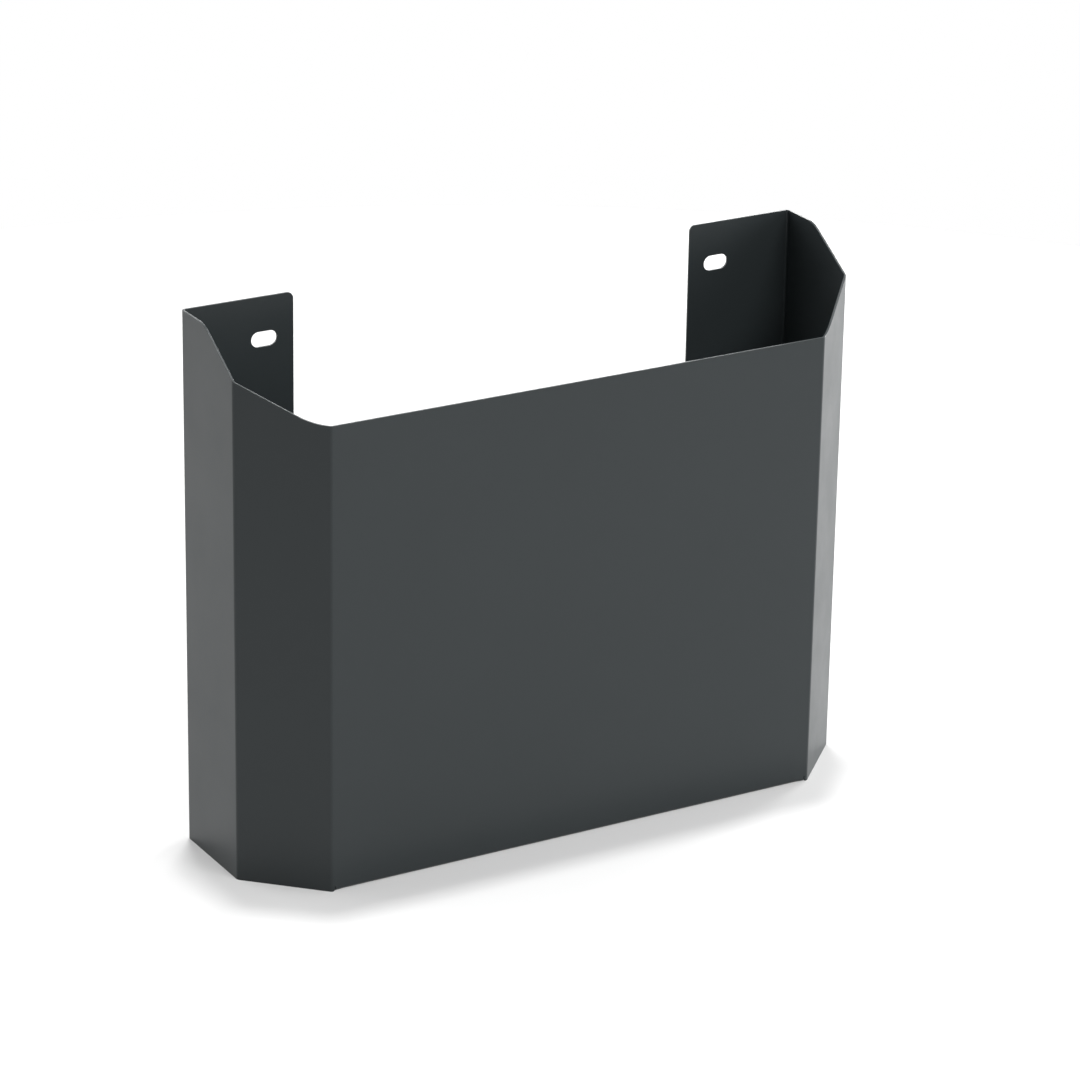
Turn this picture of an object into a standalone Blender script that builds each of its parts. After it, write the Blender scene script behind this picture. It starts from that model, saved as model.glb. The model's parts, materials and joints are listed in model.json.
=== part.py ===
"""Document holder: an open-topped wall pocket folded from sheet steel, with a bottom plate welded inside it.

The front faces -Y, the back flanges lie against the wall at +Y, and the pocket stands on z = 0. The origin is
the middle of its footprint.
"""

import math

import bmesh
import bpy

MM = 0.001

# Overall sizes of the pocket
WIDTH = 310 * MM
DEPTH = 80 * MM
HEIGHT = 250 * MM
FRONT_DROP = 32.75 * MM

# Thickness of the sheet and inner radius of its bends, in the shell and in the bottom plate
SHEET = 1 * MM
INNER_BEND = 1 * MM
PLATE_SHEET = 1 * MM
PLATE_INNER_BEND = 1 * MM

# Slanted corner panels between the front and the sides
CORNER_ACROSS = 31 * MM
CORNER_DEEP = 30.5 * MM

# Sloping cut that lowers the sides to the front, rounded where it leaves the top and where it meets the front
SHOULDER_DEPTH = 22 * MM
SLOPE_SETBACK = 6 * MM
SHOULDER_RADIUS = 16 * MM
DIP_RADIUS = 19 * MM

# Back flanges and their screw slots
FLANGE_WIDTH = 53.8 * MM
FLANGE_CORNER_RADIUS = 3 * MM
SLOT_LENGTH = 12.5 * MM
SLOT_WIDTH = 7 * MM
SLOT_FROM_EDGE = 14.3 * MM
SLOT_FROM_TOP = 19.5 * MM

# Lip folded inwards along the front's bottom edge, and the slits that free its ends
LIP_REACH = 12 * MM
LIP_INSET = 1 * MM
SLIT_WIDTH = 0.3 * MM
SLIT_RISE = 0.5 * MM

# Bottom plate, its seat on the lip and its turned-up edges
SEAT_GAP = 0.3 * MM
UPTURN = 15 * MM
UPTURN_TAPER = 4 * MM
UPTURN_GAP = 1 * MM

# How far a cutter reaches past the sheet on each side
OVERRUN = 2 * MM

# Facets along a right-angled bend, a slot's round end, a flange's corner and a rounded stretch of the top edge
BEND_FACETS = 8
SLOT_END_FACETS = 12
CORNER_FACETS = 6
EDGE_FACETS = 8

# Faces that meet at less than this angle are shaded as one round surface
SMOOTH_BELOW = math.radians(30)

POWDER_COAT = (0.05, 0.058, 0.06, 1)
POWDER_ROUGHNESS = 0.42

# Places that follow from the sizes above
HALF_WIDTH = WIDTH / 2
BACK_Y = DEPTH / 2
FRONT_Y = -DEPTH / 2
CORNER_Y = FRONT_Y + CORNER_DEEP
CORNER_X = HALF_WIDTH - CORNER_ACROSS
CORNER_ANGLE = math.atan2(CORNER_DEEP, CORNER_ACROSS)
FLANGE_X = HALF_WIDTH - FLANGE_WIDTH
FRONT_HEIGHT = HEIGHT - FRONT_DROP
BEND = INNER_BEND + SHEET
PLATE_BEND = PLATE_INNER_BEND + PLATE_SHEET
PLATE_Z = SHEET + SEAT_GAP

# The sloping cut: its angle, and how far each rounding reaches along the level edge and along the slope
SLOPE_ANGLE = math.atan2(FRONT_DROP, DEPTH - SHOULDER_DEPTH - SLOPE_SETBACK)
TANGENT_SHARE = math.tan(SLOPE_ANGLE / 2)
SHOULDER_TANGENT = min(SHOULDER_RADIUS * TANGENT_SHARE, SHOULDER_DEPTH - BEND)
DIP_TANGENT = min(DIP_RADIUS * TANGENT_SHARE, SLOPE_SETBACK)
SHOULDER_START = BACK_Y - SHOULDER_DEPTH + SHOULDER_TANGENT
SHOULDER_END = BACK_Y - SHOULDER_DEPTH - SHOULDER_TANGENT * math.cos(SLOPE_ANGLE)
DIP_START = FRONT_Y + SLOPE_SETBACK + DIP_TANGENT * math.cos(SLOPE_ANGLE)
DIP_END = FRONT_Y + SLOPE_SETBACK - DIP_TANGENT


def remove_everything():
    """Empties the scene."""
    for old in list(bpy.data.objects):
        bpy.data.objects.remove(old, do_unlink=True)


def powder_coat(name):
    """Returns a dark semi-matt powder coat."""
    material = bpy.data.materials.new(name)
    material.use_nodes = True
    shader = material.node_tree.nodes["Principled BSDF"]
    shader.inputs["Base Color"].default_value = POWDER_COAT
    shader.inputs["Roughness"].default_value = POWDER_ROUGHNESS
    shader.inputs["Metallic"].default_value = 0
    return material


def steps(count):
    """Returns count + 1 even shares from 0 to 1."""
    return [i / count for i in range(count + 1)]


def between(start, end, count):
    """Returns count + 1 even places from start to end."""
    return [start + (end - start) * share for share in steps(count)]


def top_height(y):
    """Returns the height of the shell's top edge at depth y: level, sloping down, then level at the front."""
    if y >= SHOULDER_START:
        return HEIGHT
    if y <= DIP_END:
        return FRONT_HEIGHT
    if y > SHOULDER_END:
        radius = SHOULDER_TANGENT / TANGENT_SHARE
        return HEIGHT - radius + math.sqrt(radius ** 2 - (SHOULDER_START - y) ** 2)
    if y < DIP_START:
        radius = DIP_TANGENT / TANGENT_SHARE
        return FRONT_HEIGHT + radius - math.sqrt(radius ** 2 - (y - DIP_END) ** 2)
    return HEIGHT - (BACK_Y - SHOULDER_DEPTH - y) * math.tan(SLOPE_ANGLE)


def bend_points(corner, before, after, facets):
    """Returns the points of a left-hand bend round a corner of the plan, between two directions of travel."""
    turn = math.acos(before[0] * after[0] + before[1] * after[1])
    tangent = BEND * math.tan(turn / 2)
    points = []
    for share in steps(facets):
        along = BEND * math.sin(turn * share) - tangent
        across = BEND * (1 - math.cos(turn * share))
        points.append((corner[0] + along * before[0] - across * before[1],
                       corner[1] + along * before[1] + across * before[0]))
    return points


def flange_columns():
    """Returns the columns of the left flange's rounded free edge."""
    radius = FLANGE_CORNER_RADIUS
    columns = []
    for share in steps(CORNER_FACETS):
        inset = radius * (1 - math.cos(share * math.pi / 2))
        trim = radius * (1 - math.sin(share * math.pi / 2))
        columns.append((-FLANGE_X - inset, BACK_Y, trim, HEIGHT - trim))
    return columns


def left_columns():
    """Returns (x, y, bottom, top) of each column of the shell's outer face, from the flange to the front.

    A column nearer to a bend than the sheet's thickness is left out, because the bend's own columns serve there.
    """
    slant = (math.cos(CORNER_ANGLE), -math.sin(CORNER_ANGLE))
    back_bend = bend_points((-HALF_WIDTH, BACK_Y), (-1, 0), (0, -1), BEND_FACETS)
    side_bend = bend_points((-HALF_WIDTH, CORNER_Y), (0, -1), slant, BEND_FACETS // 2)
    front_bend = bend_points((-CORNER_X, FRONT_Y), slant, (1, 0), BEND_FACETS // 2)
    rounded = between(SHOULDER_START, SHOULDER_END, EDGE_FACETS) + between(DIP_START, DIP_END, EDGE_FACETS)
    side = []
    corner = []
    for y in rounded:
        if side_bend[0][1] + SHEET < y < back_bend[-1][1] - SHEET:
            side.append((-HALF_WIDTH, y))
        elif front_bend[0][1] + SHEET < y < side_bend[-1][1] - SHEET:
            corner.append((-HALF_WIDTH + (CORNER_Y - y) / math.tan(CORNER_ANGLE), y))
    plan = back_bend + side + side_bend + corner + front_bend
    return flange_columns() + [(x, y, 0, top_height(y)) for x, y in plan]


class Surface:
    """The outer face of a sheet, gathered point by point and face by face."""

    def __init__(self):
        self.points = []
        self.faces = []

    def row(self, points):
        """Adds points and returns their numbers."""
        first = len(self.points)
        self.points += points
        return list(range(first, len(self.points)))

    def strip(self, upper, lower):
        """Adds the faces between two rows of points."""
        for i in range(len(upper) - 1):
            self.faces.append((lower[i], lower[i + 1], upper[i + 1], upper[i]))

    def solid(self, name, thickness):
        """Makes the sheet, with its thickness behind this face."""
        mesh = bpy.data.meshes.new(name)
        mesh.from_pydata(self.points, [], self.faces)
        sheet = bpy.data.objects.new(name, mesh)
        bpy.context.collection.objects.link(sheet)
        wall = sheet.modifiers.new("Wall", "SOLIDIFY")
        wall.thickness = thickness
        wall.offset = -1
        wall.use_even_offset = True
        wall.use_rim = True
        return sheet


def settle(sheet):
    """Applies a sheet's modifiers and shades its bends as round."""
    evaluated = sheet.evaluated_get(bpy.context.evaluated_depsgraph_get())
    mesh = bpy.data.meshes.new_from_object(evaluated)
    sheet.modifiers.clear()
    sheet.data = mesh
    mesh.shade_smooth()
    mesh.set_sharp_from_angle(angle=SMOOTH_BELOW)


def add_front_lip(surface, lip_end):
    """Adds the inward fold under the front and returns the slit bottom edge of the front, left to right."""
    rows = []
    for share in steps(BEND_FACETS):
        y = FRONT_Y + BEND * (1 - math.cos(share * math.pi / 2))
        z = BEND * (1 - math.sin(share * math.pi / 2))
        rows.append(surface.row([(-lip_end, y, z), (lip_end, y, z)]))
    reach = FRONT_Y + LIP_REACH
    rows.append(surface.row([(-lip_end, reach, 0), (lip_end, reach, 0)]))
    for upper, lower in zip(rows, rows[1:]):
        surface.strip(upper, lower)
    slit_end = lip_end + SLIT_WIDTH
    rise = BEND + SLIT_RISE
    left = surface.row([(-slit_end, FRONT_Y, 0), (-slit_end, FRONT_Y, rise), (-lip_end, FRONT_Y, rise)])
    right = surface.row([(lip_end, FRONT_Y, rise), (slit_end, FRONT_Y, rise), (slit_end, FRONT_Y, 0)])
    return left + rows[0] + right


def slot_cutter(name, x):
    """Makes the cutter of a level screw slot through a back flange."""
    radius = SLOT_WIDTH / 2
    straight = max(SLOT_LENGTH / 2 - radius, 0)
    z = HEIGHT - SLOT_FROM_TOP
    near = BACK_Y - SHEET - OVERRUN
    shape = bmesh.new()
    rim = []
    for side in (1, -1):
        for angle in between(-math.pi / 2, math.pi / 2, SLOT_END_FACETS):
            across = side * (straight + radius * math.cos(angle))
            rim.append(shape.verts.new((x + across, near, z + side * radius * math.sin(angle))))
    grown = bmesh.ops.extrude_face_region(shape, geom=[shape.faces.new(rim)])
    far_rim = [item for item in grown["geom"] if isinstance(item, bmesh.types.BMVert)]
    bmesh.ops.translate(shape, vec=(0, SHEET + OVERRUN * 2, 0), verts=far_rim)
    bmesh.ops.remove_doubles(shape, verts=shape.verts, dist=SHEET / 1000)
    bmesh.ops.recalc_face_normals(shape, faces=shape.faces)
    mesh = bpy.data.meshes.new(name)
    shape.to_mesh(mesh)
    shape.free()
    cutter = bpy.data.objects.new(name, mesh)
    bpy.context.collection.objects.link(cutter)
    cutter.hide_render = True
    cutter.display_type = "WIRE"
    return cutter


def make_pocket_shell():
    """Makes the folded sheet: flanges, sides, slanted corners, front and the lip under the front."""
    surface = Surface()
    left = left_columns()
    right = [(-x, y, bottom, top) for x, y, bottom, top in reversed(left)]
    ends = []
    for columns in (left, right):
        bottoms = surface.row([(x, y, bottom) for x, y, bottom, top in columns])
        tops = surface.row([(x, y, top) for x, y, bottom, top in columns])
        surface.strip(tops, bottoms)
        ends.append((bottoms, tops))
    (left_bottoms, left_tops), (right_bottoms, right_tops) = ends
    front_start = -left[-1][0]
    front_edge = add_front_lip(surface, front_start - LIP_INSET)
    front = (left_bottoms[-1], *front_edge, right_bottoms[0], right_tops[0], left_tops[-1])
    surface.faces.append(front)
    shell = surface.solid("pocket_shell", SHEET)
    slot_x = FLANGE_X + SLOT_FROM_EDGE
    for name, x in (("left_slot", -slot_x), ("right_slot", slot_x)):
        cut = shell.modifiers.new(name, "BOOLEAN")
        cut.operation = "DIFFERENCE"
        cut.solver = "EXACT"
        cut.object = slot_cutter(name + "_cutter", x)
    return shell


def add_upturn(surface, start, end, outward):
    """Adds a turned-up edge along the bend line from start to end and returns the numbers of its two ends."""
    length = math.dist(start, end)
    along = ((end[0] - start[0]) / length, (end[1] - start[1]) / length)

    def across_both(out, z, taper=0):
        return surface.row([
            (x + out * outward[0] + side * taper * along[0], y + out * outward[1] + side * taper * along[1], z)
            for (x, y), side in ((start, 1), (end, -1))])

    rows = []
    for share in steps(BEND_FACETS):
        out = PLATE_BEND * math.sin(share * math.pi / 2)
        rise = PLATE_BEND * (1 - math.cos(share * math.pi / 2))
        rows.append(across_both(out, PLATE_Z + rise))
    rows.append(across_both(PLATE_BEND, PLATE_Z + UPTURN, UPTURN_TAPER))
    for lower, upper in zip(rows, rows[1:]):
        surface.strip(upper, lower)
    return rows[0]


def make_bottom_plate():
    """Makes the plate that closes the pocket, with edges turned up against the sides and the back flanges."""
    inset = SHEET + SEAT_GAP
    side_x = HALF_WIDTH - inset - PLATE_BEND
    rear_y = BACK_Y - inset - PLATE_BEND
    front_y = FRONT_Y + BEND + SEAT_GAP
    slant_inset = inset / math.cos(CORNER_ANGLE)

    def slant_y(x):
        return CORNER_Y - (HALF_WIDTH - x) * math.tan(CORNER_ANGLE) + slant_inset

    slant_front_x = HALF_WIDTH - (CORNER_Y + slant_inset - front_y) / math.tan(CORNER_ANGLE)
    upturn_front = slant_y(side_x + PLATE_BEND) + UPTURN_GAP
    upturn_back = rear_y - UPTURN_GAP
    rear_end = side_x - UPTURN_GAP
    surface = Surface()
    outline = add_upturn(surface, (side_x, upturn_front), (side_x, upturn_back), (1, 0))
    outline += surface.row([(side_x, rear_y, PLATE_Z)])
    outline += add_upturn(surface, (rear_end, rear_y), (-rear_end, rear_y), (0, 1))
    outline += surface.row([(-side_x, rear_y, PLATE_Z)])
    outline += add_upturn(surface, (-side_x, upturn_back), (-side_x, upturn_front), (-1, 0))
    outline += surface.row([
        (-side_x, slant_y(side_x), PLATE_Z), (-slant_front_x, front_y, PLATE_Z),
        (slant_front_x, front_y, PLATE_Z), (side_x, slant_y(side_x), PLATE_Z)])
    surface.faces.append(tuple(reversed(outline)))
    return surface.solid("bottom_plate", PLATE_SHEET)


def main():
    """Makes the shell and the plate and gives each its coat."""
    remove_everything()
    for piece in (make_pocket_shell(), make_bottom_plate()):
        settle(piece)
        piece.data.materials.append(powder_coat(piece.name + "_coat"))


main()
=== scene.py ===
"""Dressed model of a document holder: a wall pocket of folded sheet steel, with a bottom plate welded in it.

The front faces -Y, the back flanges lie against the wall at +Y, and the pocket stands on z = 0. Lengths are
in metres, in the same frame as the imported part.
"""

import json
import logging
import math
from collections.abc import Callable
from dataclasses import dataclass
from enum import Enum

import bmesh
import bpy
from mathutils import Matrix, Vector

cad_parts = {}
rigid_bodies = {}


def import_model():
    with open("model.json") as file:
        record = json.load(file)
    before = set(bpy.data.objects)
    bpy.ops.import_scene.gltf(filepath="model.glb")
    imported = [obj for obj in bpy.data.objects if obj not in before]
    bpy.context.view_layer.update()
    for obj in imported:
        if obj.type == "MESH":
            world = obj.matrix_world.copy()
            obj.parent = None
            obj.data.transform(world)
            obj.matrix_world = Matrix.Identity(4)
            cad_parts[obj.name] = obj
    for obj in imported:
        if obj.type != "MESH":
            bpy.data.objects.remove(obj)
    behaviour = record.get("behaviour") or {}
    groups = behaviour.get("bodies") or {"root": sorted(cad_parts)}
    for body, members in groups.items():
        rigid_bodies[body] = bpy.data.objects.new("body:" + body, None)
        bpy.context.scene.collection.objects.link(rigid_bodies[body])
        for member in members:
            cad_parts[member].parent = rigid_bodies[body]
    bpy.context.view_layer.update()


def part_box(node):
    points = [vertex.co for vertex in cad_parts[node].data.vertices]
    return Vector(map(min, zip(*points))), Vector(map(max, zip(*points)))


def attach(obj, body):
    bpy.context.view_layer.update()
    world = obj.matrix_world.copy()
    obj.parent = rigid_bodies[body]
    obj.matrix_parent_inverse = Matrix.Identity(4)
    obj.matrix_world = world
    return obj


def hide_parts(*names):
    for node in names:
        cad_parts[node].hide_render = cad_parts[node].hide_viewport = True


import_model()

MM = 0.001
HAIR = 0.01 * MM
MERGE_REACH = HAIR / 10
RIGHT_ANGLE = math.pi / 2
WHITE = (1, 1, 1, 1)

LOG = logging.getLogger("document_holder")

Place = Callable[[Vector], bool]
Triple = tuple[float, float, float]


class Pick(Enum):
    """What a hand tool takes hold of."""

    POINTS = "VERT"
    EDGES = "EDGE"
    FACES = "FACE"


class Side(Enum):
    """The pocket's left or right half, by the sign of its x."""

    LEFT = -1
    RIGHT = 1


def near(a: float, b: float) -> bool:
    """Says whether two lengths are the same to a hair."""
    return abs(a - b) < HAIR


def shares(count: int) -> list[float]:
    """Returns count + 1 even shares from 0 to 1."""
    return [step / count for step in range(count + 1)]


def between(start: float, end: float, count: int) -> list[float]:
    """Returns count + 1 even places from start to end."""
    return [start + (end - start) * share for share in shares(count)]


def lay_down_everything() -> None:
    """Deselects every object."""
    for item in bpy.context.scene.objects:
        item.select_set(False)
    bpy.context.view_layer.objects.active = None


class Workpiece:
    """A sheet or a cutting tool under way on the bench, with the hand tools that shape it."""

    def __init__(self, name: str, blank: bpy.types.Object) -> None:
        """Takes up a blank.

        Args:
            name: The piece's name.
            blank: The object to shape.
        """
        blank.name = name
        blank.data.name = name
        self.body = blank

    @classmethod
    def flat(cls, name: str, middle: Vector, size: tuple[float, float], tilt: float = 0.0) -> "Workpiece":
        """Adds a flat rectangular blank at its size and place.

        Args:
            name: The piece's name.
            middle: The middle of the blank.
            size: The blank's width along x and its length across it.
            tilt: How far it is turned up about x, from lying flat.

        Returns:
            The blank, ready to shape.
        """
        lay_down_everything()
        bpy.ops.mesh.primitive_plane_add(size=1, location=middle, rotation=(tilt, 0, 0))
        blank = bpy.context.active_object
        blank.scale = (*size, 1)
        bpy.ops.object.transform_apply(location=True, rotation=True, scale=True)
        return cls(name, blank)

    @classmethod
    def rod(cls, name: str, middle: Vector, radius: float, length: float, turn: Vector,
            facets: int) -> "Workpiece":
        """Adds a round rod at its size and place.

        Args:
            name: The rod's name.
            middle: The middle of the rod.
            radius: Its radius.
            length: Its length.
            turn: Its rotation from standing upright, as three angles.
            facets: How many flat sides it has.

        Returns:
            The rod, ready to shape.
        """
        lay_down_everything()
        bpy.ops.mesh.primitive_cylinder_add(
            vertices=facets, radius=radius, depth=length, location=middle, rotation=turn)
        bpy.ops.object.transform_apply(location=True, rotation=True, scale=True)
        return cls(name, bpy.context.active_object)

    def take_up(self) -> None:
        """Makes this the piece that the tools work on."""
        if bpy.context.view_layer.objects.active is not self.body:
            lay_down_everything()
            bpy.context.view_layer.objects.active = self.body
        self.body.select_set(True)

    def set_down(self) -> None:
        """Leaves off shaping, so that the piece can be finished."""
        self.take_up()
        if self.body.mode == "EDIT":
            bpy.ops.object.mode_set(mode="OBJECT")

    def hold(self, pick: Pick, where: Place) -> int:
        """Takes hold of what lies wholly in a place.

        Args:
            pick: Whether to hold points, edges or faces.
            where: Says whether a point is in the place.

        Returns:
            How many points, edges or faces are held.
        """
        self.take_up()
        if self.body.mode != "EDIT":
            bpy.ops.object.mode_set(mode="EDIT")
        bpy.ops.mesh.select_mode(type=pick.value)
        bpy.ops.mesh.select_all(action="DESELECT")
        mesh = bmesh.from_edit_mesh(self.body.data)
        kinds = {Pick.POINTS: mesh.verts, Pick.EDGES: mesh.edges, Pick.FACES: mesh.faces}
        held = 0
        for item in kinds[pick]:
            points = [item] if pick is Pick.POINTS else item.verts
            if all(where(point.co) for point in points):
                item.select_set(True)
                held += 1
        bmesh.update_edit_mesh(self.body.data)
        return held

    def draw_out(self, shift: Triple) -> None:
        """Extrudes what is held and moves the new edge by a shift."""
        bpy.ops.mesh.extrude_region_move(TRANSFORM_OT_translate={"value": shift})

    def shift(self, shift: Triple) -> None:
        """Moves what is held."""
        bpy.ops.transform.translate(value=shift)

    def resize(self, factors: Triple, middle: Triple) -> None:
        """Shrinks or grows what is held, towards or from a middle."""
        bpy.ops.transform.resize(value=factors, center_override=middle)

    def score(self, at: Triple, across: Triple, trim: bool = False) -> None:
        """Divides the held faces along a plane.

        Args:
            at: A point of the plane.
            across: The direction square to it.
            trim: Whether what lies beyond the plane is cut off.
        """
        bpy.ops.mesh.bisect(plane_co=at, plane_no=across, clear_outer=trim)

    def round_off(self, reach: float, facets: int, corners: bool = False) -> None:
        """Rounds the held edges, or corners of the outline.

        Args:
            reach: How far the rounding reaches along each face.
            facets: How many facets it has.
            corners: Whether points of the outline are rounded, and not edges.
        """
        bpy.ops.mesh.bevel(offset_type="OFFSET", offset=reach, segments=facets, profile=0.5,
                           affect="VERTICES" if corners else "EDGES", clamp_overlap=False)
        bpy.ops.mesh.select_all(action="SELECT")
        bpy.ops.mesh.remove_doubles(threshold=MERGE_REACH)

    def finish_with(self, kind: str, **settings: object) -> None:
        """Adds a modifier, sets it and applies it.

        Args:
            kind: The modifier's type.
            settings: Its settings by name.
        """
        self.set_down()
        modifier = self.body.modifiers.new(kind.title(), kind)
        for name, value in settings.items():
            setattr(modifier, name, value)
        bpy.ops.object.modifier_apply(modifier=modifier.name)

    def carve(self, cutter: "Workpiece") -> None:
        """Cuts a tool's shape out of the piece and puts the tool away.

        Args:
            cutter: The tool.
        """
        cutter.set_down()
        self.finish_with("BOOLEAN", operation="DIFFERENCE", solver="EXACT", object=cutter.body)
        bpy.data.objects.remove(cutter.body, do_unlink=True)

    def face(self, way: Vector, where: Place) -> None:
        """Turns all faces alike, so that those in a place face a given way.

        Args:
            way: The direction that they face.
            where: Says whether a point is in the place.
        """
        self.hold(Pick.FACES, lambda point: True)
        bpy.ops.mesh.normals_make_consistent(inside=False)
        self.hold(Pick.FACES, where)
        mesh = bmesh.from_edit_mesh(self.body.data)
        held = [item for item in mesh.faces if item.select]
        backwards = sum(item.normal.dot(way) * item.calc_area() for item in held) < 0
        if backwards:
            self.hold(Pick.FACES, lambda point: True)
            bpy.ops.mesh.flip_normals()


@dataclass
class SheetMetal:
    """The steel that a piece is folded from.

    Args:
        thickness: The sheet's thickness.
        inner_bend: The inner radius of its bends.
        edge_rounding: How far the coat rounds the cut edges.
        bend_facets: Facets of a right-angled bend.
        edge_facets: Facets of a rounded cut edge.
        sharp_degrees: The turn from which an edge counts as cut, and is rounded.
        panel_weight: How much the shading follows the large faces.
    """

    thickness: float = 1 * MM
    inner_bend: float = 1 * MM
    edge_rounding: float = 0.15 * MM
    bend_facets: int = 16
    edge_facets: int = 3
    sharp_degrees: float = 40
    panel_weight: int = 50

    @property
    def bend(self) -> float:
        """The outer radius of a bend."""
        return self.thickness + self.inner_bend

    def tangent(self, turn: float) -> float:
        """Returns how far a bend of that turn reaches along each face, from its sharp corner."""
        return self.bend * math.tan(turn / 2)

    def facets(self, turn: float) -> int:
        """Returns how many facets a bend of that turn has."""
        return round(self.bend_facets * turn / RIGHT_ANGLE)

    def thicken(self, piece: Workpiece) -> None:
        """Gives an outer face the sheet's thickness behind it."""
        piece.finish_with("SOLIDIFY", thickness=self.thickness, offset=-1, use_even_offset=True,
                          use_quality_normals=True, use_rim=True)

    def soften(self, piece: Workpiece) -> None:
        """Rounds the cut edges as the coat does."""
        piece.finish_with("BEVEL", width=self.edge_rounding, segments=self.edge_facets, limit_method="ANGLE",
                          angle_limit=math.radians(self.sharp_degrees), profile=0.5, use_clamp_overlap=True)

    def shade(self, piece: Workpiece) -> None:
        """Shades the bends and rounded edges as round and the panels as flat.

        Args:
            piece: The folded piece.
        """
        piece.set_down()
        bpy.ops.object.shade_smooth()
        piece.finish_with("WEIGHTED_NORMAL", weight=self.panel_weight, keep_sharp=False)


@dataclass
class PocketShell:
    """The folded sheet: back flanges, sides, slanted corners, the front and the lip folded in under it.

    Args:
        width: The pocket's width.
        depth: Its depth, from the front to the back of the flanges.
        height: Its height at the back.
        metal: The steel that it is folded from.
        front_drop: How far the front's top edge is below the back's.
        corner_across: How far a corner panel reaches along x.
        corner_deep: How far it reaches along y.
        shoulder_depth: How far before the back the slope, drawn on, meets the back's level.
        slope_setback: How far behind the front it meets the front's level.
        shoulder_radius: The radius that rounds the slope's upper end.
        dip_radius: The radius that rounds its lower end.
        edge_steps: How many straight steps each of these roundings has.
        flange_width: The width of a back flange.
        flange_corner: The radius of its free corners.
        flange_corner_facets: How many facets such a corner has.
        slot_length: The length of a screw slot.
        slot_width: Its width.
        slot_from_edge: How far its middle is from the flange's free edge.
        slot_from_top: How far its middle is below the top edge.
        slot_facets: How many flat sides the rod that cuts it has.
        slot_rod_sheets: How long that rod is, in thicknesses of the sheet.
        lip_reach: How far the lip reaches in from the front's outer face.
        lip_inset: How far each end of the lip is from the start of the corner's bend.
        lip_taper: The length over which the lip's fold narrows at each end.
        lip_end_bend: The outer radius of the fold at its ends.
        slit_width: The width of the slits that free the lip.
        slit_rise: How far they rise above the fold.
        slit_relief: How far the front's corner beside a slit is raised.
    """

    width: float
    depth: float
    height: float
    metal: SheetMetal
    front_drop: float = 32.75 * MM
    corner_across: float = 31 * MM
    corner_deep: float = 30.5 * MM
    shoulder_depth: float = 22 * MM
    slope_setback: float = 6 * MM
    shoulder_radius: float = 16 * MM
    dip_radius: float = 19 * MM
    edge_steps: int = 14
    flange_width: float = 53.8 * MM
    flange_corner: float = 3 * MM
    flange_corner_facets: int = 8
    slot_length: float = 12.5 * MM
    slot_width: float = 7 * MM
    slot_from_edge: float = 14.3 * MM
    slot_from_top: float = 19.5 * MM
    slot_facets: int = 64
    slot_rod_sheets: float = 4
    lip_reach: float = 12 * MM
    lip_inset: float = 1 * MM
    lip_taper: float = 4 * MM
    lip_end_bend: float = 1.3 * MM
    slit_width: float = 0.35 * MM
    slit_rise: float = 0.5 * MM
    slit_relief: float = 0.35 * MM

    @classmethod
    def from_frame(cls, metal: SheetMetal) -> "PocketShell":
        """Reads the shell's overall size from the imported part.

        Args:
            metal: The steel that it is folded from.

        Returns:
            The shell, ready to build.
        """
        low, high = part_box("pocket_shell")
        size = high - low
        return cls(width=size.x, depth=size.y, height=size.z, metal=metal)

    @property
    def half(self) -> float:
        """Half the width."""
        return self.width / 2

    @property
    def back(self) -> float:
        """The depth at which the back flanges lie."""
        return self.depth / 2

    @property
    def front(self) -> float:
        """The depth at which the front stands."""
        return -self.depth / 2

    @property
    def corner_y(self) -> float:
        """The depth at which the sides end and the corner panels start."""
        return self.front + self.corner_deep

    @property
    def corner_x(self) -> float:
        """Half the front's width, between the sharp corners of its folds."""
        return self.half - self.corner_across

    @property
    def flange_x(self) -> float:
        """How far a back flange's free edge is from the middle."""
        return self.half - self.flange_width

    @property
    def side_turn(self) -> float:
        """How far the fold between a side and a corner panel turns."""
        return math.atan2(self.corner_across, self.corner_deep)

    @property
    def front_turn(self) -> float:
        """How far the fold between a corner panel and the front turns."""
        return RIGHT_ANGLE - self.side_turn

    @property
    def front_height(self) -> float:
        """The height of the front's top edge."""
        return self.height - self.front_drop

    @property
    def slope(self) -> float:
        """The angle of the sloping cut."""
        return math.atan2(self.front_drop, self.depth - self.shoulder_depth - self.slope_setback)

    def roundings(self) -> tuple[Triple, Triple]:
        """Places the roundings at the ends of the slope.

        Returns:
            The shoulder and the dip, each as the depths at which it starts and ends, from the back to the
            front, and its radius.
        """
        share = math.tan(self.slope / 2)
        shoulder = min(self.shoulder_radius * share, self.shoulder_depth - self.metal.bend)
        dip = min(self.dip_radius * share, self.slope_setback)
        shoulder_corner = self.back - self.shoulder_depth
        dip_corner = self.front + self.slope_setback
        along = math.cos(self.slope)
        return ((shoulder_corner + shoulder, shoulder_corner - shoulder * along, shoulder / share),
                (dip_corner + dip * along, dip_corner - dip, dip / share))

    def top_height(self, y: float) -> float:
        """Follows the top edge: level at the back, sloping down, then level at the front.

        Args:
            y: A depth.

        Returns:
            The height of the top edge there.
        """
        (shoulder_start, shoulder_end, shoulder_radius), (dip_start, dip_end, dip_radius) = self.roundings()
        if y >= shoulder_start:
            return self.height
        if y <= dip_end:
            return self.front_height
        if y > shoulder_end:
            return self.height - shoulder_radius + math.sqrt(shoulder_radius ** 2 - (shoulder_start - y) ** 2)
        if y < dip_start:
            return self.front_height + dip_radius - math.sqrt(dip_radius ** 2 - (y - dip_end) ** 2)
        return self.height - (self.back - self.shoulder_depth - y) * math.tan(self.slope)

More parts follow.
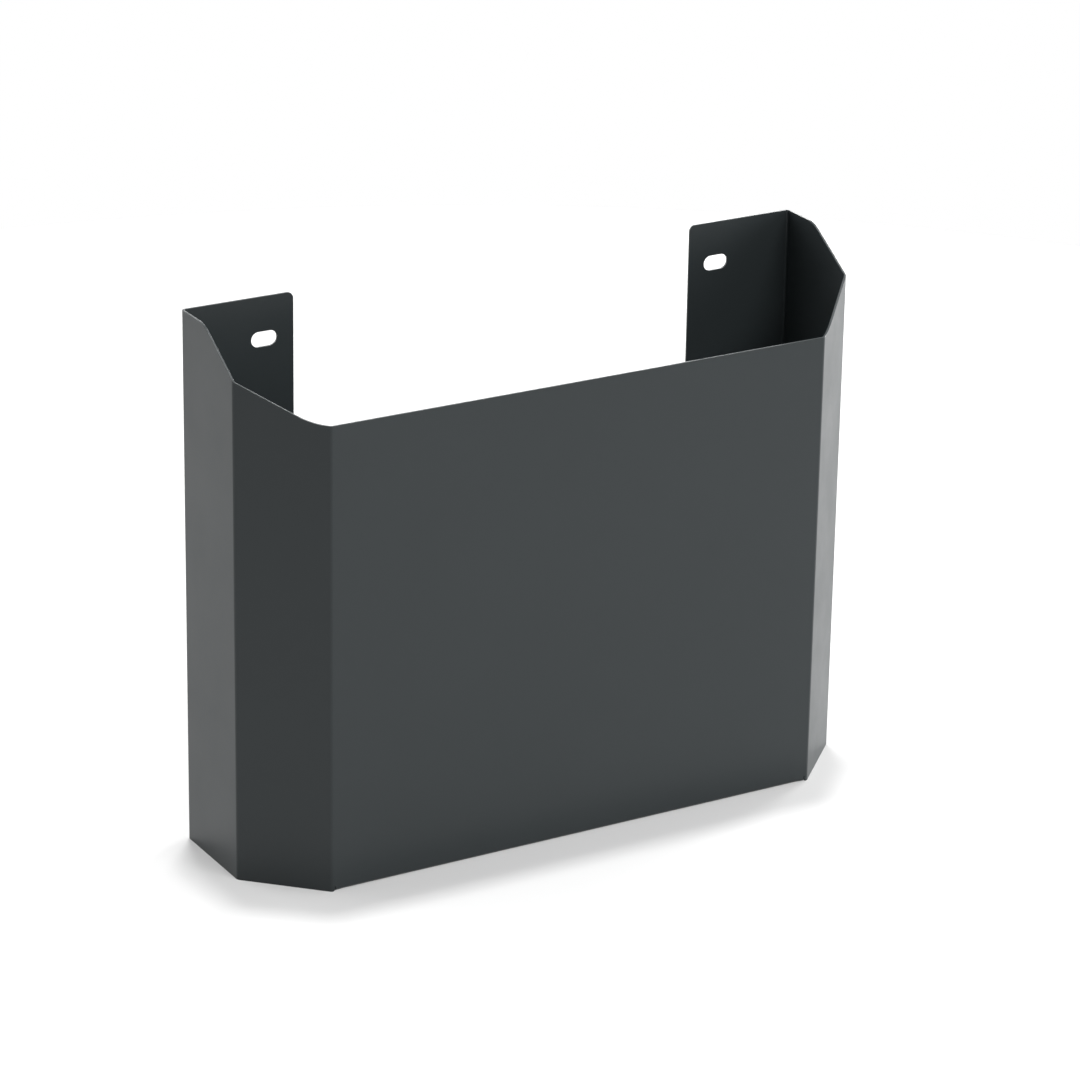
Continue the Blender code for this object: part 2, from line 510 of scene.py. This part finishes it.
    def fold_panels(self) -> Workpiece:
        """Draws out the outer face, panel by panel from the left flange to the right, and rounds its folds.

        Returns:
            The shell's outer face.
        """
        plan = [(-self.half, self.back), (-self.half, self.corner_y), (-self.corner_x, self.front),
                (self.corner_x, self.front), (self.half, self.corner_y), (self.half, self.back),
                (self.flange_x, self.back)]
        middle = Vector((-self.flange_x - self.flange_width / 2, self.back, self.height / 2))
        shell = Workpiece.flat("shell_sheet", middle, (self.flange_width, self.height), tilt=RIGHT_ANGLE)
        for (x, y), (next_x, next_y) in zip(plan, plan[1:]):
            shell.hold(Pick.EDGES, lambda point: near(point.x, x) and near(point.y, y))
            shell.draw_out((next_x - x, next_y - y, 0))
        shell.face(Vector((0, -1, 0)), lambda point: near(point.y, self.front))
        folds = ((RIGHT_ANGLE, (plan[0], plan[5])), (self.side_turn, (plan[1], plan[4])),
                 (self.front_turn, (plan[2], plan[3])))
        for turn, corners in folds:
            shell.hold(Pick.EDGES, lambda point: any(
                near(point.x, x) and near(point.y, y) for x, y in corners))
            shell.round_off(self.metal.tangent(turn), self.metal.facets(turn))
        return shell

    def trim_top(self, shell: Workpiece) -> None:
        """Lowers the top edge from the shoulders to the front, along its roundings and slope.

        Args:
            shell: The shell's outer face.
        """
        low = self.front_height - self.metal.bend
        shell.hold(Pick.FACES, lambda point: True)
        shell.score((0, 0, low), (0, 0, 1))
        folds = (self.back - self.metal.bend, self.corner_y, self.front)
        stations = [y for start, end, radius in self.roundings()
                    for y in between(start, end, self.edge_steps)]
        for y in stations:
            if min(abs(y - fold) for fold in folds) > self.metal.bend:
                shell.hold(Pick.FACES, lambda point: point.z > low - HAIR)
                shell.score((0, y, 0), (0, 1, 0))
        shell.hold(Pick.POINTS, lambda point: near(point.z, self.height))
        mesh = bmesh.from_edit_mesh(shell.body.data)
        depths = {round(point.co.y / HAIR) * HAIR for point in mesh.verts if point.select}
        for y in depths:
            drop = self.height - self.top_height(y)
            if drop > 0:
                shell.hold(Pick.POINTS, lambda point: near(point.z, self.height) and near(point.y, y))
                shell.shift((0, 0, -drop))

    def fold_lip(self, shell: Workpiece) -> None:
        """Frees the middle of the front's bottom edge with two slits and folds it in under the front.

        The corner beside each slit is raised a little, and the fold narrows at its ends, so that the bottom
        edge droops gently there.

        Args:
            shell: The shell's outer face.
        """
        rise = self.metal.bend + self.slit_rise
        lip_end = self.corner_x - self.metal.tangent(self.front_turn) - self.lip_inset
        slit_end = lip_end + self.slit_width

        def on_front(point: Vector) -> bool:
            """Says whether a point is on the front."""
            return near(point.y, self.front)

        def on_fold(point: Vector) -> bool:
            """Says whether a point is on the line that the lip is folded along."""
            return on_front(point) and near(point.z, 0) and abs(point.x) < lip_end + HAIR

        shell.hold(Pick.FACES, on_front)
        shell.score((0, 0, rise), (0, 0, 1))
        for x in (-slit_end, -lip_end, lip_end, slit_end):
            shell.hold(Pick.FACES, lambda point: on_front(point) and point.z < rise + HAIR)
            shell.score((x, 0, 0), (1, 0, 0))
        for side in Side:
            shell.hold(Pick.FACES, lambda point: on_front(point) and point.z < rise + HAIR
                       and lip_end - HAIR < point.x * side.value < slit_end + HAIR)
            bpy.ops.mesh.delete(type="FACE")
        shell.hold(Pick.POINTS, lambda point: on_front(point) and near(point.z, 0)
                   and near(abs(point.x), slit_end))
        shell.shift((0, 0, self.slit_relief))
        shell.hold(Pick.EDGES, on_fold)
        shell.draw_out((0, self.lip_reach, 0))
        shell.hold(Pick.EDGES, on_fold)
        shell.round_off(self.metal.bend, self.metal.bend_facets)
        narrowing = self.lip_end_bend / self.metal.bend
        for side in Side:
            shell.hold(Pick.FACES, lambda point: point.y < self.front + self.lip_reach + HAIR
                       and point.z < rise + HAIR and abs(point.x) < lip_end + HAIR)
            shell.score((side.value * (lip_end - self.lip_taper), 0, 0), (1, 0, 0))
            shell.hold(Pick.POINTS, lambda point: near(point.x, side.value * lip_end)
                       and max(point.y - self.front, point.z) < self.metal.bend + HAIR)
            shell.resize((1, narrowing, narrowing), (side.value * lip_end, self.front, 0))

    def round_flanges(self, shell: Workpiece) -> None:
        """Rounds the free corners of the back flanges.

        Args:
            shell: The shell's outer face.
        """
        shell.hold(Pick.POINTS, lambda point: near(abs(point.x), self.flange_x) and near(point.y, self.back)
                   and (near(point.z, 0) or near(point.z, self.height)))
        shell.round_off(self.flange_corner, self.flange_corner_facets, corners=True)

    def cut_slot(self, shell: Workpiece, side: Side) -> None:
        """Cuts a flange's level screw slot with a round rod that is drawn out sideways.

        Args:
            shell: The shell, with the sheet's thickness.
            side: The side that the flange is on.
        """
        x = side.value * (self.flange_x + self.slot_from_edge)
        middle = Vector((x, self.back - self.metal.thickness / 2, self.height - self.slot_from_top))
        length = self.metal.thickness * self.slot_rod_sheets
        cutter = Workpiece.rod(f"slot_cutter_{side.name.lower()}", middle, self.slot_width / 2, length,
                               Vector((RIGHT_ANGLE, 0, 0)), self.slot_facets)
        reach = (self.slot_length - self.slot_width) / 2
        for way in (-1, 1):
            cutter.hold(Pick.POINTS, lambda point: (point.x - x) * way > HAIR)
            cutter.shift((way * reach, 0, 0))
        shell.carve(cutter)

    def build(self) -> bpy.types.Object:
        """Makes the shell's mesh.

        Returns:
            The shell's object.
        """
        shell = self.fold_panels()
        self.trim_top(shell)
        self.fold_lip(shell)
        self.round_flanges(shell)
        self.metal.thicken(shell)
        for side in Side:
            self.cut_slot(shell, side)
        self.metal.soften(shell)
        self.metal.shade(shell)
        return shell.body


@dataclass
class BottomPlate:
    """The plate that closes the pocket, with edges turned up against the sides and the back flanges.

    Args:
        shell: The shell that it is welded into.
        metal: The steel that it is folded from.
        seat_gap: The gap between the plate and the shell.
        upturn: How high its edges are turned up.
        upturn_taper: How far the ends of a turned-up edge slant in towards its top.
        upturn_gap: How far these ends stay clear of the corners.
        weld_radius: The radius of a spot weld's mark.
        weld_depth: How deep the mark is.
        weld_facets: How many flat sides the welding tip has.
        weld_tip_sheets: How long the tip is, in thicknesses of the sheet.
        weld_edge_depths: How far the rounding of its edge reaches, in depths of the mark.
    """

    shell: PocketShell
    metal: SheetMetal
    seat_gap: float = 0.3 * MM
    upturn: float = 15 * MM
    upturn_taper: float = 4 * MM
    upturn_gap: float = 1 * MM
    weld_radius: float = 2.6 * MM
    weld_depth: float = 0.12 * MM
    weld_facets: int = 40
    weld_tip_sheets: float = 2
    weld_edge_depths: float = 2

    @property
    def level(self) -> float:
        """The height of the plate's underside, and its gap to the panels' outer faces."""
        return self.shell.metal.thickness + self.seat_gap

    @property
    def side_x(self) -> float:
        """Where the flat part ends at the sides."""
        return self.shell.half - self.level - self.metal.bend

    @property
    def rear_y(self) -> float:
        """Where the flat part ends at the back."""
        return self.shell.back - self.level - self.metal.bend

    @property
    def slant_y(self) -> float:
        """The depth at which the slanted edges, drawn on, would meet the sides' outer faces."""
        return self.shell.corner_y + self.level / math.cos(self.shell.front_turn)

    def turn_up(self, plate: Workpiece, outward: Vector, start: float, end: float) -> None:
        """Turns an edge of the plate up and trims its ends aslant.

        Args:
            plate: The plate under way.
            outward: The direction that the edge faces.
            start: Where the turned-up edge starts along its line.
            end: Where it ends.
        """
        along = Vector((abs(outward.y), abs(outward.x), 0))
        reach = self.side_x if outward.x else self.rear_y
        for place in (start, end):
            plate.hold(Pick.FACES, lambda point: near(point.z, self.level))
            plate.score(tuple(along * place), tuple(along))

        def on_line(point: Vector, out: float, height: float) -> bool:
            """Says whether a point is on a line of the turned-up edge, so far out and so high."""
            return (near(point.dot(outward), reach + out) and near(point.z, height)
                    and start - HAIR < point.dot(along) < end + HAIR)

        bend = self.metal.bend
        top = self.level + self.upturn
        plate.hold(Pick.EDGES, lambda point: on_line(point, 0, self.level))
        plate.draw_out(tuple(outward * bend))
        plate.hold(Pick.EDGES, lambda point: on_line(point, bend, self.level))
        plate.draw_out((0, 0, self.upturn))
        for place, way in ((start, 1), (end, -1)):
            plate.hold(Pick.POINTS, lambda point: on_line(point, bend, top) and near(point.dot(along), place))
            plate.shift(tuple(along * way * self.upturn_taper))
        plate.hold(Pick.EDGES, lambda point: on_line(point, bend, self.level))
        plate.round_off(bend, self.metal.bend_facets)

    def mark_weld(self, plate: Workpiece, at: Vector, outward: Vector) -> None:
        """Presses a spot weld's round mark into a turned-up edge, from inside the pocket.

        Args:
            plate: The plate, with the sheet's thickness.
            at: The mark's middle, on the edge's inner face.
            outward: The direction from there out of the pocket.
        """
        length = self.metal.thickness * self.weld_tip_sheets
        turn = Vector((0, RIGHT_ANGLE, 0)) if outward.x else Vector((RIGHT_ANGLE, 0, 0))
        middle = at + outward * (self.weld_depth - length / 2)
        tip = Workpiece.rod("weld_tip", middle, self.weld_radius, length, turn, self.weld_facets)
        far = (at + outward * self.weld_depth).dot(outward)
        tip.hold(Pick.EDGES, lambda point: near(point.dot(outward), far))
        tip.round_off(self.weld_depth * self.weld_edge_depths, self.metal.edge_facets)
        plate.carve(tip)

    def weld(self, plate: Workpiece) -> None:
        """Marks the spot welds: one in each side's turned-up edge, and two in the rear one by each flange.

        Args:
            plate: The plate, with the sheet's thickness.
        """
        face_out = self.metal.bend - self.metal.thickness
        height = self.level + (self.upturn + self.metal.bend) / 2
        side_middle = (self.rear_y + self.shell.corner_y) / 2
        flange_middle = self.shell.half - self.shell.flange_width / 2
        for side in Side:
            x = side.value * (self.side_x + face_out)
            self.mark_weld(plate, Vector((x, side_middle, height)), Vector((side.value, 0, 0)))
            for step in (-1, 1):
                x = side.value * (flange_middle + step * self.shell.flange_width / 4)
                self.mark_weld(plate, Vector((x, self.rear_y + face_out, height)), Vector((0, 1, 0)))

    def build(self) -> bpy.types.Object:
        """Makes the plate's mesh.

        Returns:
            The plate's object.
        """
        shell = self.shell
        front_y = shell.front + shell.metal.bend + self.seat_gap
        middle = Vector((0, (self.rear_y + front_y) / 2, self.level))
        plate = Workpiece.flat("plate_sheet", middle, (self.side_x * 2, self.rear_y - front_y))
        for side in Side:
            plate.hold(Pick.FACES, lambda point: True)
            outward = (side.value * shell.corner_deep, -shell.corner_across, 0)
            plate.score((side.value * shell.half, self.slant_y, 0), outward, trim=True)
        upturn_front = self.slant_y - self.level * math.tan(shell.front_turn) + self.upturn_gap
        upturn_back = self.rear_y - self.upturn_gap
        rear_end = self.side_x - self.upturn_gap
        for side in Side:
            self.turn_up(plate, Vector((side.value, 0, 0)), upturn_front, upturn_back)
        self.turn_up(plate, Vector((0, 1, 0)), -rear_end, rear_end)
        plate.face(Vector((0, 0, -1)), lambda point: near(point.z, self.level))
        self.metal.thicken(plate)
        self.metal.soften(plate)
        self.weld(plate)
        self.metal.shade(plate)
        return plate.body


class NodeBench:
    """A node tree under construction, with short ways to add and join its nodes."""

    def __init__(self, tree: bpy.types.NodeTree) -> None:
        """Takes up a node tree and empties it."""
        tree.nodes.clear()
        self.tree = tree

    def feed(self, socket: bpy.types.NodeSocket, value: object) -> None:
        """Gives an input its value.

        Args:
            socket: The input.
            value: A number, a colour or another node's output.
        """
        if isinstance(value, bpy.types.NodeSocket):
            self.tree.links.new(value, socket)
        else:
            socket.default_value = value

    def add(self, kind: str, values: dict[str, object] | None = None, **settings: object) -> bpy.types.Node:
        """Adds a node.

        Args:
            kind: The node's type.
            values: What goes into its inputs, by their names: a number, a colour or another node's output.
            settings: Its settings by name.

        Returns:
            The node.
        """
        node = self.tree.nodes.new(kind)
        for name, value in settings.items():
            setattr(node, name, value)
        for name, value in (values or {}).items():
            self.feed(next(item for item in node.inputs if item.name == name and item.enabled), value)
        return node

    def math(self, operation: str, a: object, b: object = 0.0) -> bpy.types.NodeSocket:
        """Adds a sum of two values.

        Args:
            operation: What is done with them.
            a: The first value: a number or another node's output.
            b: The second.

        Returns:
            The output that gives the result.
        """
        node = self.add("ShaderNodeMath", operation=operation)
        for socket, value in zip(node.inputs, (a, b)):
            self.feed(socket, value)
        return node.outputs["Value"]


def shader_group(name: str, inputs: dict[str, str], outputs: dict[str, str]) -> tuple[NodeBench, dict, dict]:
    """Starts a shader node group.

    Args:
        name: The group's name.
        inputs: The type of each input, by its name.
        outputs: The type of each output, by its name.

    Returns:
        The group's bench, its inputs' sockets by name and its outputs' sockets by name.
    """
    tree = bpy.data.node_groups.new(name, "ShaderNodeTree")
    for way, sockets in (("INPUT", inputs), ("OUTPUT", outputs)):
        for label, kind in sockets.items():
            tree.interface.new_socket(name=label, in_out=way, socket_type=f"NodeSocket{kind}")
    bench = NodeBench(tree)
    entry = bench.add("NodeGroupInput")
    leave = bench.add("NodeGroupOutput")
    return bench, dict(entry.outputs.items()), dict(leave.inputs.items())


def orange_peel(grain_height: float = 0.15) -> bpy.types.NodeTree:
    """Makes the group for a powder coat's fine waves, with a grain finer than they are.

    Args:
        grain_height: The grain's height, as a share of the waves'.

    Returns:
        The group. It gives the height of both together, and the grain alone.
    """
    bench, given, result = shader_group(
        "orange_peel", {"Vector": "Vector", "Waves": "Float", "Grain": "Float"},
        {"Height": "Float", "Speckle": "Float"})
    waves = bench.add("ShaderNodeTexNoise", {
        "Vector": given["Vector"], "Scale": given["Waves"], "Detail": 2.0, "Roughness": 0.45})
    grain = bench.add("ShaderNodeTexNoise", {
        "Vector": given["Vector"], "Scale": given["Grain"], "Detail": 1.0, "Roughness": 0.5})
    lift = bench.math("MULTIPLY", grain.outputs["Fac"], grain_height)
    bench.feed(result["Height"], bench.math("ADD", waves.outputs["Fac"], lift))
    bench.feed(result["Speckle"], grain.outputs["Fac"])
    return bench.tree


def coat_clouds(haze_fineness: float = 2.7) -> bpy.types.NodeTree:
    """Makes the group for broad, faint patches of tone and gloss, from uneven spraying and handling.

    Args:
        haze_fineness: How many times finer the patches of gloss are than those of tone.

    Returns:
        The group. It gives the patches of tone, and those of gloss as haze.
    """
    bench, given, result = shader_group(
        "coat_clouds", {"Vector": "Vector", "Patches": "Float"}, {"Tone": "Float", "Haze": "Float"})
    tone = bench.add("ShaderNodeTexNoise", {
        "Vector": given["Vector"], "Scale": given["Patches"], "Detail": 3.0, "Roughness": 0.55})
    finer = bench.math("MULTIPLY", given["Patches"], haze_fineness)
    haze = bench.add("ShaderNodeTexNoise", {
        "Vector": given["Vector"], "Scale": finer, "Detail": 4.0, "Roughness": 0.6})
    bench.feed(result["Tone"], tone.outputs["Fac"])
    bench.feed(result["Haze"], haze.outputs["Fac"])
    return bench.tree


@dataclass(frozen=True)
class PowderCoat:
    """A dark semi-matt powder coat.

    Args:
        name: The material's name.
        tone: Its colour.
        tone_spread: How much lighter and darker its patches are, as a share of the colour.
        roughness: Its roughness.
        roughness_spread: How much its patches of haze change the roughness.
        haze_range: The values of haze between which the roughness changes.
        shine: Its index of refraction.
        peel_depth: How deep the orange peel's waves are.
        peel_waves_per_metre: How many waves of orange peel there are to a metre.
        grain_per_metre: How many grains there are to a metre.
        patches_per_metre: How many patches of tone there are to a metre.
    """

    name: str
    tone: Triple = (0.029, 0.035, 0.037)
    tone_spread: float = 0.06
    roughness: float = 0.33
    roughness_spread: float = 0.03
    haze_range: tuple[float, float] = (0.3, 0.7)
    shine: float = 1.35
    peel_depth: float = 0.004 * MM
    peel_waves_per_metre: float = 700.0
    grain_per_metre: float = 4000.0
    patches_per_metre: float = 14.0

    def make(self, peel: bpy.types.NodeTree, clouds: bpy.types.NodeTree) -> bpy.types.Material:
        """Makes the material.

        Args:
            peel: The group for orange peel.
            clouds: The group for broad patches.

        Returns:
            The material.
        """
        material = bpy.data.materials.new(self.name)
        material.use_nodes = True
        bench = NodeBench(material.node_tree)
        place = bench.add("ShaderNodeTexCoord").outputs["Object"]
        fine = bench.add("ShaderNodeGroup", node_tree=peel)
        broad = bench.add("ShaderNodeGroup", node_tree=clouds)
        for node, values in ((fine, {"Waves": self.peel_waves_per_metre, "Grain": self.grain_per_metre}),
                             (broad, {"Patches": self.patches_per_metre})):
            for label, value in {"Vector": place, **values}.items():
                bench.feed(node.inputs[label], value)
        dark = tuple(part * (1 - self.tone_spread) for part in self.tone)
        light = tuple(part * (1 + self.tone_spread) for part in self.tone)
        colour = bench.add("ShaderNodeMix", {
            "Factor": broad.outputs["Tone"], "A": (*dark, 1), "B": (*light, 1)}, data_type="RGBA")
        haze_low, haze_high = self.haze_range
        rough = bench.add("ShaderNodeMapRange", {
            "Value": broad.outputs["Haze"], "From Min": haze_low, "From Max": haze_high,
            "To Min": self.roughness - self.roughness_spread,
            "To Max": self.roughness + self.roughness_spread})
        bump = bench.add("ShaderNodeBump", {
            "Height": fine.outputs["Height"], "Strength": 1.0, "Distance": self.peel_depth})
        shader = bench.add("ShaderNodeBsdfPrincipled", {
            "Base Color": colour.outputs["Result"], "Roughness": rough.outputs["Result"],
            "Normal": bump.outputs["Normal"], "IOR": self.shine, "Metallic": 0.0})
        bench.add("ShaderNodeOutputMaterial", {"Surface": shader.outputs["BSDF"]})
        return material


@dataclass(frozen=True)
class Lamp:
    """A square soft box.

    Args:
        name: Its name.
        azimuth: Where it hangs around the pocket, in degrees from the front towards the right.
        elevation: How high it hangs, in degrees above the floor.
        power: Its power in watts.
        distance: How far it hangs from the pocket's foot.
        size: Its width and height.
    """

    name: str
    azimuth: float
    elevation: float
    power: float
    distance: float = 2.0
    size: float = 1.0

    def hang(self, aim: Vector) -> None:
        """Adds the soft box to the studio.

        Args:
            aim: The point that it faces.
        """
        light = bpy.data.lights.new(self.name, "AREA")
        light.shape = "SQUARE"
        light.size = self.size
        light.energy = self.power
        holder = bpy.data.objects.new(self.name, light)
        bpy.context.scene.collection.objects.link(holder)
        around = math.radians(self.azimuth)
        up = math.radians(self.elevation)
        way = Vector((math.sin(around) * math.cos(up), -math.cos(around) * math.cos(up), math.sin(up)))
        holder.location = way * self.distance
        holder.rotation_euler = (aim - holder.location).to_track_quat("-Z", "Y").to_euler()


@dataclass
class Studio:
    """A plain, round white floor under soft light.

    Args:
        floor_radius: The floor's radius.
        floor_facets: How many straight edges it has.
        floor_albedo: How much of the lamps' light it gives back.
        floor_lift: How much it glows for the camera, which makes it white without lighting the pocket.
        surround: The strength at which the white surround lights the pocket.
        aim_height: The height on the pocket's middle that the lamps face.
        lamps: The soft boxes.
    """

    floor_radius: float = 0.9
    floor_facets: int = 96
    floor_albedo: float = 0.53
    floor_lift: float = 0.24
    surround: float = 0.13
    aim_height: float = 0.1
    lamps: tuple[Lamp, ...] = (
        Lamp("overhead", azimuth=161, elevation=83.7, power=240, distance=6, size=0.42),
        Lamp("front_box", azimuth=12, elevation=45, power=21),
        Lamp("front_right_box", azimuth=58, elevation=18, power=17),
        Lamp("right_box", azimuth=115, elevation=9, power=52, size=0.6),
        Lamp("right_back_box", azimuth=147, elevation=20, power=9, size=0.6),
        Lamp("left_back_box", azimuth=215, elevation=25, power=16),
        Lamp("left_box", azimuth=240, elevation=40, power=5),
        Lamp("rim_box", azimuth=98, elevation=65, power=6, size=0.5),
    )

    @staticmethod
    def seen(bench: NodeBench) -> bpy.types.NodeSocket:
        """Tells what the camera sees, straight, mirrored or through glass, from the light on things.

        Args:
            bench: The node tree to work in.

        Returns:
            The output that gives 1 for what the camera sees, and 0 for the light.
        """
        path = bench.add("ShaderNodeLightPath")
        mirrored = bench.math("MAXIMUM", path.outputs["Is Camera Ray"], path.outputs["Is Glossy Ray"])
        return bench.math("MAXIMUM", mirrored, path.outputs["Is Transmission Ray"])

    def lay_floor(self) -> None:
        """Lays the white floor, which keeps the pocket's shadow."""
        lay_down_everything()
        bpy.ops.mesh.primitive_circle_add(
            vertices=self.floor_facets, radius=self.floor_radius, fill_type="NGON")
        floor = bpy.context.active_object
        floor.name = "floor"
        material = bpy.data.materials.new("floor_paper")
        material.use_nodes = True
        bench = NodeBench(material.node_tree)
        paper = bench.add("ShaderNodeBsdfDiffuse", {"Color": (*(self.floor_albedo,) * 3, 1)})
        lift = bench.math("MULTIPLY", self.seen(bench), self.floor_lift)
        glow = bench.add("ShaderNodeEmission", {"Color": WHITE, "Strength": lift})
        both = bench.add("ShaderNodeAddShader")
        for socket, part in zip(both.inputs, (paper.outputs["BSDF"], glow.outputs["Emission"])):
            bench.feed(socket, part)
        bench.add("ShaderNodeOutputMaterial", {"Surface": both.outputs["Shader"]})
        floor.data.materials.append(material)

    def light_surround(self) -> None:
        """Surrounds the floor with white, which lights the pocket at a lower level."""
        world = bpy.data.worlds.new("surround")
        world.use_nodes = True
        bpy.context.scene.world = world
        bench = NodeBench(world.node_tree)
        level = bench.add("ShaderNodeMapRange", {
            "Value": self.seen(bench), "To Min": self.surround, "To Max": 1.0})
        white = bench.add("ShaderNodeBackground", {"Color": WHITE, "Strength": level.outputs["Result"]})
        bench.add("ShaderNodeOutputWorld", {"Surface": white.outputs["Background"]})

    def build(self) -> None:
        """Lays the floor, lights the surround and hangs the lamps."""
        self.lay_floor()
        self.light_surround()
        for lamp in self.lamps:
            lamp.hang(Vector((0, 0, self.aim_height)))


@dataclass(frozen=True)
class StillCamera:
    """The camera at the photograph's viewpoint.

    Args:
        at: Where it stands.
        aim: The point in the middle of its view.
        roll_degrees: How far it is turned about its line of sight.
        lens_mm: Its focal length in millimetres.
        nearest: The distance from which things show.
    """

    at: Triple = (-0.964468, -1.648951, 0.888881)
    aim: Triple = (0.002200, 0.000255, 0.128349)
    roll_degrees: float = 0.9642
    lens_mm: float = 153.260
    nearest: float = 0.1

    def build(self) -> None:
        """Sets the camera up and makes it the scene's."""
        data = bpy.data.cameras.new("still_camera")
        data.lens = self.lens_mm
        data.clip_start = self.nearest
        camera = bpy.data.objects.new("still_camera", data)
        bpy.context.scene.collection.objects.link(camera)
        towards = Vector(self.aim) - Vector(self.at)
        turn = towards.to_track_quat("-Z", "Y").to_matrix().to_4x4()
        roll = Matrix.Rotation(math.radians(self.roll_degrees), 4, "Z")
        camera.matrix_world = Matrix.Translation(self.at) @ turn @ roll
        bpy.context.scene.camera = camera


def mount(piece: bpy.types.Object, node: str, finish: bpy.types.Material) -> None:
    """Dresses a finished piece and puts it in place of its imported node.

    Args:
        piece: The finished piece.
        node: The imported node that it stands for.
        finish: Its material.
    """
    piece.data.materials.clear()
    piece.data.materials.append(finish)
    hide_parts(node)
    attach(piece, "root")
    LOG.info("%s: %d faces, for %s", piece.name, len(piece.data.polygons), node)


def main() -> None:
    """Builds the pocket, its finish and the studio, in order."""
    logging.basicConfig(level=logging.INFO, format="%(message)s")
    bpy.context.scene.view_settings.view_transform = "Standard"
    peel = orange_peel()
    clouds = coat_clouds()
    steel = SheetMetal()
    shell = PocketShell.from_frame(steel)
    plate = BottomPlate(shell, steel)
    mount(shell.build(), "pocket_shell", PowderCoat("shell_coat").make(peel, clouds))
    mount(plate.build(), "bottom_plate", PowderCoat("plate_coat").make(peel, clouds))
    Studio().build()
    StillCamera().build()


if __name__ == "__main__":
    main()
